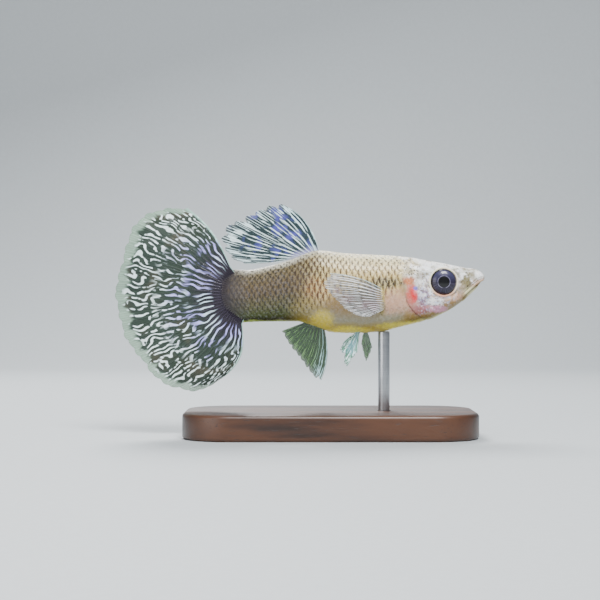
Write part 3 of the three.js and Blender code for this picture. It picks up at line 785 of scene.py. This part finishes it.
for side, word in sides:
    flank = float(eyeFlank())
    middleX = fish["snoutX"] - eye["behind"] * percent
    middleZ = fish["snoutZ"] + eye["above"] * percent
    wall = eyeForm["back"] * eyeForm["wall"]
    dome = eyeForm["front"] + eyeForm["back"] - wall

    def eyeShape(u, v):
        turn = 2 * math.pi * u
        backEnds, wallEnds = eyeForm["backEnds"], eyeForm["wallEnds"]
        overDome = np.clip((v - wallEnds) / (1 - wallEnds), 0, 1) * math.pi / 2
        radius = np.where(v < backEnds, v / backEnds, np.where(v < wallEnds, 1, np.cos(overDome)))
        radius = np.where(v >= 1, 0, radius) * eye["radius"]
        upWall = wall * (v - backEnds) / (wallEnds - backEnds)
        height = np.where(v < wallEnds, upWall, wall + dome * np.sin(overDome))
        height = np.where(v < backEnds, 0, height)
        x = middleX + radius * np.cos(turn)
        z = middleZ + radius * np.sin(turn)
        return x, side * (flank - eyeForm["back"] + height), z

    eyeball = shapedGrid(word + "Eye", 72, 60, eyeShape, weld=True)
    glossy = {"Roughness": 0.3, "Specular_IOR_Level": 0.3, "Coat_Weight": 0.45, "Coat_Roughness": 0.02}
    eyeLook = Look(word + "EyeLook", **glossy)
    spot = eyeLook.place()
    x, y, z = eyeLook.split(spot)
    flatSpot = eyeLook.join((x - middleX) / mm, 0.0, (z - middleZ) / mm)
    fromAxis = eyeLook.length(flatSpot)
    rays = eyeLook.noise(eyeLook.node("VectorMath", {"operation": "NORMALIZE"}, {0: flatSpot}), 9.0, 4.0)
    cloud = eyeLook.noise(spot, 1500.0, 3.0)
    upward = eyeLook.ease((z - middleZ) / mm + (cloud - 0.5), -0.4, 1.5)
    iris = eyeLook.mix(upward, paint(52, 46, 68), paint(80, 80, 108))
    iris = eyeLook.mix(eyeLook.ease(rays, 0.45, 0.75) * 0.5, iris, paint(102, 92, 122))
    ringLight = 1 - eyeLook.ease(abs(fromAxis - eyeForm["ring"]), 0.01, 0.05)
    iris = eyeLook.mix(ringLight * eyeLook.ease(cloud, 0.3, 0.6) * 0.6, iris, paint(176, 174, 190))
    pupil = 1 - eyeLook.ease(fromAxis, eyeForm["pupil"], eyeForm["pupil"] + 0.06)
    iris = eyeLook.mix(pupil, iris, paint(12, 12, 18))
    iris = eyeLook.mix(eyeLook.ease(fromAxis, 1.52, 1.66), iris, paint(44, 38, 54))
    eyeLook.feed(Base_Color=iris, Normal=eyeLook.bump(rays, 0.00002, 0.3))
    finishPiece(eyeball, eyeLook.material, "eye", word + "_eye")


plainFin = {
    "even": True,
    "seed": 0,
    "ruffle": 0,
    "ragged": 0.028,  # share of a ray's length
    "parting": 0.08,
    "joints": 40,
    "sink": 0.7 * mm,
    "web": 0.14 * mm,
    "ridge": 0.14 * mm,
    "rootThick": 0.3 * mm,
}


# Fins: a fan of rays between a root line and a margin, each ray a ridge in the web that forks towards the tip
def makeFin(name, ownForm, look, slotName, node):
    form = {**plainFin, **ownForm}
    root = curveThrough(form["root"])
    margin = curveThrough(form["margin"], form["even"])
    rays = form["rays"]

    def rayPhase(u):
        return np.abs((u * (rays - 1) + 0.5) % 1 - 0.5)  # 0 on a ray, 0.5 halfway to the next

    def finPoint(u, v):
        rootB, rootA = root(u)
        tipB, tipA = margin(u)
        runX, runZ = -(tipB - rootB) * percent, (tipA - rootA) * percent
        length = np.hypot(runX, runZ)
        deep = -form["sink"] / length
        t = deep + (1 - deep) * v
        phase = rayPhase(u)
        tip = ramp(t, 0.85, 1)
        uneven = 0.5 + 0.5 * np.sin(u * 61 + form["seed"]) * np.sin(u * 23 + 1)
        reach = 1 - form["notch"] * (4 * phase * phase) * tip - form["ragged"] * uneven * tip
        bow = form["bow"](u) * np.sin(math.pi * np.clip(t, 0, 1))
        x = fish["snoutX"] - rootB * percent + runX * t * reach - runZ * bow
        z = fish["snoutZ"] + rootA * percent + runZ * t * reach + runX * bow
        ruffle = form["ruffle"] * np.sin(math.pi * u * (rays - 1)) * t * t
        return x, form["sideways"](u, t, x) + ruffle, z

    across, along = form["grid"]
    fin = shapedGrid(name, across, along, finPoint)
    # thickness: ridges along rays, two branches past the fork and four near the margin
    flatU = np.tile(np.arange(across + 1) / across, along + 1)
    flatV = np.repeat(np.arange(along + 1) / along, across + 1)
    phase = rayPhase(flatU)
    single = hump(phase, 0.13)
    double = hump(phase - 0.2, 0.07)
    fourfold = hump(phase - 0.12, 0.045) + hump(phase - 0.34, 0.045)
    fork, forkAgain = form["forks"]
    parting = form["parting"]
    first = ramp(flatV, fork - parting, fork + parting)
    second = ramp(flatV, forkAgain - parting, forkAgain + parting)
    ridge = single * (1 - first) + double * first * (1 - second) + fourfold * second
    joints = 1 - 0.18 * hump((flatV * form["joints"]) % 1 - 0.5, 0.12)
    thick = form["web"] + form["ridge"] * ridge * joints + form["rootThick"] * (1 - ramp(flatV, 0, 0.3))
    thick = thick * (1 - 0.6 * ramp(flatV, 0.75, 1))
    group = fin.vertex_groups.new(name="thickness")
    full = thick.max()
    for i, value in enumerate(thick / full):
        group.add([i], float(value), "REPLACE")
    addAttribute(fin, "ray", ridge)
    solid = fin.modifiers.new("web", "SOLIDIFY")
    solid.thickness = full
    solid.offset = 0
    solid.vertex_group = "thickness"
    solid.use_even_offset = False
    applyModifier(fin, solid)
    inEditMode(fin, lambda: bpy.ops.mesh.normals_make_consistent(inside=False))
    bpy.ops.object.shade_smooth()
    finishPiece(fin, look, slotName, node)


def wave(turns):
    return np.sin(2 * math.pi * turns)


print("fins")
tailForm = {
    "root": [(b + 0.3, a) for b, a in tailRoot],
    "margin": [(117.1, 27.9), (126.5, 27.5), (137.5, 22.4), (141.8, 10.2), (145.4, -2.8), (143.8, -18.5),
               (136.3, -31.4), (126.1, -41.7), (114, -44.8), (103.7, -40.1)],
    "rays": 30,
    "grid": (348, 110),
    "forks": (0.36, 0.66),
    "sink": 1.0 * mm,
    "notch": 0.014,
    "web": 0.16 * mm,
    "rootThick": 0.2 * mm,
    "ruffle": 0.06 * mm,
    "bow": lambda u: 0.17 * u**5 - 0.08 * (1 - u) ** 4,
    "sideways": lambda u, v, x: 0.55 * mm * v * np.abs(v) * wave(2.2 * u + 0.1),
}


# What every web shares: its dull shine, its rays, and places across it (u) and along it (v)
def webLook(name):
    look = Look(name, Roughness=0.5, Specular_IOR_Level=0.25, Coat_Weight=0.1)
    u, v, _ = look.split(look.uv("UVMap"))
    return look, u, v, look.place(), look.attribute("ray")


def feedWeb(look, spot, colour, alpha):
    grain = look.noise(spot, 2400.0, 2.0)
    look.feed(Base_Color=colour, Alpha=alpha, Normal=look.bump(grain, 0.00003, 0.3))
    return look.material


# The tail's maze: pale stripes along the rays over dark slate, finer towards the margin, clear at its edge
def tailLook():
    look, u, v, spot, ray = webLook("tailMaze")
    warp = look.noise(spot, 330.0, 2.0) - 0.5

    # even stripes along the rays, which sway, merge and break
    def streaks(count, sway, seed, width, often, kept):
        swaying = look.drawnNoise(u * (count * 0.4), v * 5.5, seed, 1.0) - 0.5
        wandering = u * count + swaying * sway + warp
        across = look.node("Math", {"operation": "PINGPONG"}, {0: wandering, 1: 0.5})
        breaks = look.drawnNoise(u * count, v * often, seed + 1, 1.0)
        uneven = (breaks - 0.5) * 0.3
        return (1 - look.ease(across - uneven, width * 0.7, width)) * look.ease(breaks, kept, kept + 0.08)

    inner = streaks(23.0, 2.2, 3.0, 0.17, 10, 0.3)
    middle = streaks(33.0, 3.4, 11.0, 0.17, 15, 0.4)
    outer = streaks(44.0, 4.2, 23.0, 0.2, 19, 0.4)
    further = look.ease(v, 0.34, 0.46)
    furthest = look.ease(v, 0.58, 0.72)
    pattern = inner * (1 - further) + middle * further * (1 - furthest) + outer * furthest
    pattern = pattern * look.ease(v + warp * 0.25, 0.12, 0.22)
    patches = look.drawnNoise(u * 9, v * 5, 2.0)
    pattern = pattern * look.ease(patches + furthest * 0.2, 0.34, 0.46)
    cloudy = look.noise(spot, 260.0, 2.0)
    lilac = look.mix(look.ease(cloudy, 0.42, 0.6), paint(190, 188, 246), paint(214, 232, 252))
    pale = look.mix(look.ease(v + (cloudy - 0.5) * 0.4, 0.36, 0.7), lilac, paint(230, 250, 248))
    ground = look.mix(look.ease(v, 0.1, 0.5), paint(56, 48, 64), paint(72, 88, 78))
    ground = look.mix(look.ease(patches, 0.5, 0.7) * look.ease(v, 0.3, 0.6), ground, paint(98, 98, 84))
    ground = look.mix(look.ease(cloudy, 0.5, 0.7) * look.ease(v, 0.3, 0.5) * 0.6, ground, paint(66, 82, 62))
    ground = look.mix(look.ease(ray, 0.3, 0.9) * 0.45, ground, paint(46, 42, 54))
    rootRay = look.ease(ray, 0.5, 0.9) * (1 - look.ease(v, 0.2, 0.4)) * look.ease(v, 0.04, 0.12)
    ground = look.mix(rootRay * 0.4, ground, paint(116, 104, 130))
    tips = look.drawnNoise(u * 60, 0.5, 9.0) - 0.5
    edge = look.ease(v + tips * 0.22, 0.88, 0.94)
    clear = look.mix(ray * 0.5, paint(152, 178, 158), paint(192, 210, 198))
    colour = look.mix(pattern, ground, pale)
    colour = look.mix(edge, colour, clear)
    rim = 1 - look.ease(0.5 - abs(u - 0.5), 0.004, 0.016)
    colour = look.mix(rim * 0.8, colour, paint(196, 228, 218))
    alpha = 0.88 + 0.12 * pattern
    alpha = alpha * (1 - edge) + edge * (0.55 + 0.1 * ray)
    return feedWeb(look, spot, colour, alpha)


makeFin("tailFin", tailForm, tailLook(), "tail_fin_web", "tail_fin")

dorsalForm = {
    "root": [(65.2, 11), (71.5, 9), (77.4, 7.2)],
    "margin": [(75.8, 27.3), (79.4, 29.1), (85.3, 28.3), (90.8, 26.3), (95.5, 23.2), (101, 21.4),
               (103.5, 17.7), (103.3, 13.4), (101.4, 9.4), (98.2, 6.9), (94.7, 5.6)],
    "rays": 11,
    "grid": (160, 80),
    "forks": (0.4, 0.72),
    "notch": 0.07,
    "ridge": 0.16 * mm,
    "ruffle": 0.05 * mm,
    "seed": 2,
    "bow": lambda u: -0.1 * (1 - u) ** 3 + 0.03 * u,
    "sideways": lambda u, v, x: 0.35 * mm * v * np.abs(v) * wave(0.9 * u + 0.55),
}


# A fin whose rays are pale and whose web is darker and partly clear
def rayLook(name, kind):
    look, u, v, spot, ray = webLook(name)
    cloudy = look.noise(spot, 480.0, 2.0)
    streak = look.ease(look.drawnNoise(u * kind["across"], v * 4, 1.0), 0.52, 0.6) * kind["streaky"]
    pale = look.ease(ray * kind["rays"] + streak - (cloudy - 0.5) * 0.5, 0.35, 0.7)
    blotch = look.ease(cloudy - v * 0.14 - u * 0.1, 0.38, 0.54) * look.ease(u, 0.08, 0.2) * kind["tintShare"]
    colour = look.mix(pale, paint(*kind["web"]), paint(*kind["ray"]))
    colour = look.mix(blotch * (0.25 + 0.6 * (1 - pale)), colour, paint(*kind["tint"]))
    atRoot = 1 - look.ease(v, 0.02, 0.2)
    colour = look.mix(atRoot * 0.8, colour, paint(*kind["root"]))
    front = (1 - look.ease(u, 0.05, 0.28)) * look.ease(streak + ray * 0.6, 0.3, 0.6) * kind["front"]
    colour = look.mix(front, colour, paint(200, 230, 238))
    leadingEdge = 1 - look.ease(u, 0.004, 0.022)
    colour = look.mix(leadingEdge * 0.8, colour, paint(206, 222, 220))
    solidness = look.larger(pale * (1 - kind["clear"]), front)
    solidness = solidness * (1 - kind["webAlpha"]) + kind["webAlpha"]
    return feedWeb(look, spot, colour, solidness * (1 - 0.3 * look.ease(v, 0.84, 1.0)))


dorsalKind = {
    "root": (198, 196, 214), "ray": (224, 240, 255), "web": (60, 82, 84), "tint": (122, 120, 206),
    "tintShare": 0.7, "webAlpha": 0.86, "streaky": 0.5, "across": 30, "rays": 0.8, "front": 0.4,
    "clear": 0.0,
}
analKind = {
    "root": (110, 122, 72), "ray": (132, 162, 118), "web": (54, 86, 46), "tint": (92, 118, 84),
    "tintShare": 0.5, "webAlpha": 0.76, "streaky": 0.35, "across": 30, "rays": 0.7, "front": 0.9,
    "clear": 0.3,
}
nearPelvicKind = {
    "root": (206, 214, 180), "ray": (226, 246, 244), "web": (104, 156, 132), "tint": (168, 208, 232),
    "tintShare": 0.5, "webAlpha": 0.8, "streaky": 0.7, "across": 16, "rays": 0.8, "front": 0.5,
    "clear": 0.0,
}
# the far pelvic fin is the same fin painted darker and greener, as painted shade on the far side of the body
shadedFarPelvicKind = {
    "root": (170, 170, 100), "ray": (168, 204, 160), "web": (92, 134, 80), "tint": (130, 170, 130),
    "tintShare": 0.4, "webAlpha": 0.62, "streaky": 0.4, "across": 14, "rays": 0.8, "front": 0.3,
    "clear": 0.2,
}
pectoralKind = {
    "root": (166, 154, 96), "ray": (244, 245, 248), "web": (136, 144, 150), "tint": (186, 166, 178),
    "tintShare": 0.65, "webAlpha": 0.34, "streaky": 0.3, "across": 40, "rays": 0.85, "front": 0.0,
    "clear": 0.1,
}

makeFin("dorsalFin", dorsalForm, rayLook("dorsalRays", dorsalKind), "dorsal_fin_web", "dorsal_fin")

analForm = {
    "root": [(62.9, -20.4), (67, -18.9), (71.1, -17.5)],
    "margin": [(64.2, -40.1), (66.8, -39.3), (69.9, -35.4), (73.1, -31), (76.2, -27.1), (78.2, -24),
               (79.8, -20.8)],
    "rays": 10,
    "grid": (140, 70),
    "forks": (0.42, 0.74),
    "notch": 0.05,
    "seed": 4,
    "bow": lambda u: 0.09 * (1 - u) ** 2,
    "sideways": lambda u, v, x: -0.6 * mm * v * np.abs(v) * (1 - u) ** 3,
}
makeFin("analFin", analForm, rayLook("analRays", analKind), "anal_fin_web", "anal_fin")

pelvicForms = {
    "right": {
        "root": [(49.3, -21.2), (51.1, -21.5)],
        "margin": [(50.3, -29.1), (52.3, -31.4), (55, -35), (55.8, -29.9), (57.2, -28.3), (55.8, -25.2)],
        "kind": nearPelvicKind,
    },
    "left": {
        "root": [(46, -21.4), (47.6, -21.6)],
        "margin": [(44, -27.5), (45.2, -30.8), (46.4, -33), (47.4, -29.8), (48.3, -26)],
        "kind": shadedFarPelvicKind,
    },
}
for side, word in sides:
    pelvic = pelvicForms[word]
    pelvicForm = {
        "root": pelvic["root"],
        "margin": pelvic["margin"],
        "even": False,
        "rays": 7,
        "grid": (84, 44),
        "forks": (0.55, 0.85),
        "notch": 0.12,
        "web": 0.12 * mm,
        "ridge": 0.13 * mm,
        "rootThick": 0.25 * mm,
        "bow": lambda u: 0 * u,
        "sideways": lambda u, v, x, side=side: side * mm * (0.75 + 1.3 * np.maximum(0, v)),
    }
    pelvicLook = rayLook(word + "PelvicRays", pelvic["kind"])
    makeFin(word + "PelvicFin", pelvicForm, pelvicLook, "paired_fin_web", word + "_pelvic_fin")

# The pectoral fins stand off the flank, flared to the rear
pectoral = {
    "root": [(39.3, -5.3), (40.9, -8.6), (42.4, -13.4)],
    "margin": [(61.3, 1.8), (63.3, -1.2), (63.7, -3.1), (61.7, -5.9), (58.9, -8.6), (55.8, -11.8),
               (52.3, -13.9), (48.7, -15.1), (45.6, -15.1)],
    "flare": math.tan(math.radians(21)),
    "flank": 3.17 * mm,  # how far out the root stands
}
for side, word in sides:
    rootX = fish["snoutX"] - pectoral["root"][1][0] * percent
    pectoralForm = {
        "root": pectoral["root"],
        "margin": pectoral["margin"],
        "rays": 14,
        "grid": (182, 80),
        "forks": (0.5, 0.8),
        "sink": 0.9 * mm,
        "notch": 0.035,
        "web": 0.1 * mm,
        "ridge": 0.13 * mm,
        "seed": 5,
        "bow": lambda u: -0.07 * (1 - u) ** 2,
        "sideways": lambda u, v, x, side=side, rootX=rootX: side * (
            pectoral["flank"] + (rootX - x) * pectoral["flare"]
            + 0.25 * mm * wave(1.2 * u) * np.maximum(0, v)),
    }
    pectoralLook = rayLook(word + "PectoralRays", pectoralKind)
    makeFin(word + "PectoralFin", pectoralForm, pectoralLook, "paired_fin_web", word + "_pectoral_fin")

# Stand: a wooden base with rounded corners and a steel rod in its hole
print("stand")
stand = {
    "length": 40 * mm,
    "width": 22 * mm,
    "thick": 3.5 * mm,
    "corner": 6.5 * mm,
    "edge": 0.5 * mm,
    "rod": 0.8 * mm,
    "rodEdge": 0.12 * mm,
    "rodGap": 0.12 * mm,
    "rodUnder": 39.7,  # the place on the belly over the rod, behind the snout
    "rodInto": 0.02 * mm,
}
deselectAll()
bpy.ops.mesh.primitive_plane_add(size=1)
base = bpy.context.object
base.name = "standBase"
base.scale = (stand["length"], stand["width"], 1)
bpy.ops.object.transform_apply(location=True, rotation=True, scale=True)
inEditMode(
    base,
    lambda: bpy.ops.mesh.bevel(offset=stand["corner"], segments=12, affect="VERTICES"),
    lambda: bpy.ops.mesh.extrude_region_move(TRANSFORM_OT_translate={"value": (0, 0, stand["thick"])}),
    lambda: bpy.ops.mesh.select_all(action="SELECT"),
    lambda: bpy.ops.mesh.normals_make_consistent(inside=False),
)


def bevelRims(obj, width, segments):
    rims = obj.modifiers.new("rims", "BEVEL")
    rims.width = width
    rims.segments = segments
    rims.limit_method = "ANGLE"
    rims.angle_limit = math.radians(60)
    applyModifier(obj, rims)


bevelRims(base, stand["edge"], 4)
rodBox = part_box("stand_rod")
rodX = (rodBox[0][0] + rodBox[1][0]) / 2
deselectAll()
bpy.ops.mesh.primitive_cylinder_add(vertices=48, radius=stand["rod"] + stand["rodGap"], depth=4 * mm,
                                    location=(rodX, 0, stand["thick"]))
hole = bpy.context.object
cut = base.modifiers.new("hole", "BOOLEAN")
cut.operation = "DIFFERENCE"
cut.object = hole
applyModifier(base, cut)
bpy.data.objects.remove(hole)
bpy.ops.object.shade_smooth_by_angle(angle=math.radians(25))

wood = Look("darkWalnut", Roughness=0.42, Coat_Weight=0.3, Coat_Roughness=0.25)
x, y, z = wood.split(wood.place())
bands = wood.drawnNoise(x * 60, y * 520, z * 520, 4.0)
rings = wood.sine(y * 900 + bands * 9) * 0.5 + 0.5
pores = wood.ease(wood.drawnNoise(x * 500, y * 6000, z * 6000), 0.62, 0.72)
tone = wood.mix(rings, paint(58, 38, 26), paint(98, 66, 44))
tone = wood.mix(wood.ease(bands, 0.35, 0.7) * 0.5, tone, paint(120, 84, 56))
tone = wood.mix(pores * 0.7, tone, paint(34, 22, 16))
wood.feed(
    Base_Color=tone,
    Roughness=0.36 + 0.2 * bands,
    Normal=wood.bump(pores * -1 + rings * 0.2, 0.00004, 0.5),
)
finishPiece(base, wood.material, "base_wood", "stand_base")

deselectAll()
rodTop = fish["snoutZ"] + float(bellyLine(np.array(stand["rodUnder"]))) * percent + stand["rodInto"]
rodBottom = rodBox[0][2]
bpy.ops.mesh.primitive_cylinder_add(vertices=64, radius=stand["rod"], depth=rodTop - rodBottom,
                                    location=(rodX, 0, (rodTop + rodBottom) / 2))
rod = bpy.context.object
rod.name = "standRod"
bpy.ops.object.transform_apply(location=True, rotation=True, scale=True)
bevelRims(rod, stand["rodEdge"], 3)
bpy.ops.object.shade_smooth_by_angle(angle=math.radians(40))
steel = Look("brushedSteel", Metallic=1.0, Roughness=0.32)
x, y, z = steel.split(steel.place())
turning = steel.drawnNoise(x * 200, y * 200, z * 9000)
steel.feed(
    Base_Color=steel.mix(turning, paint(176, 178, 182), paint(206, 208, 210)),
    Roughness=0.24 + 0.16 * turning,
    Normal=steel.bump(turning, 0.00001, 0.4),
)
finishPiece(rod, steel.material, "rod_steel", "stand_rod")
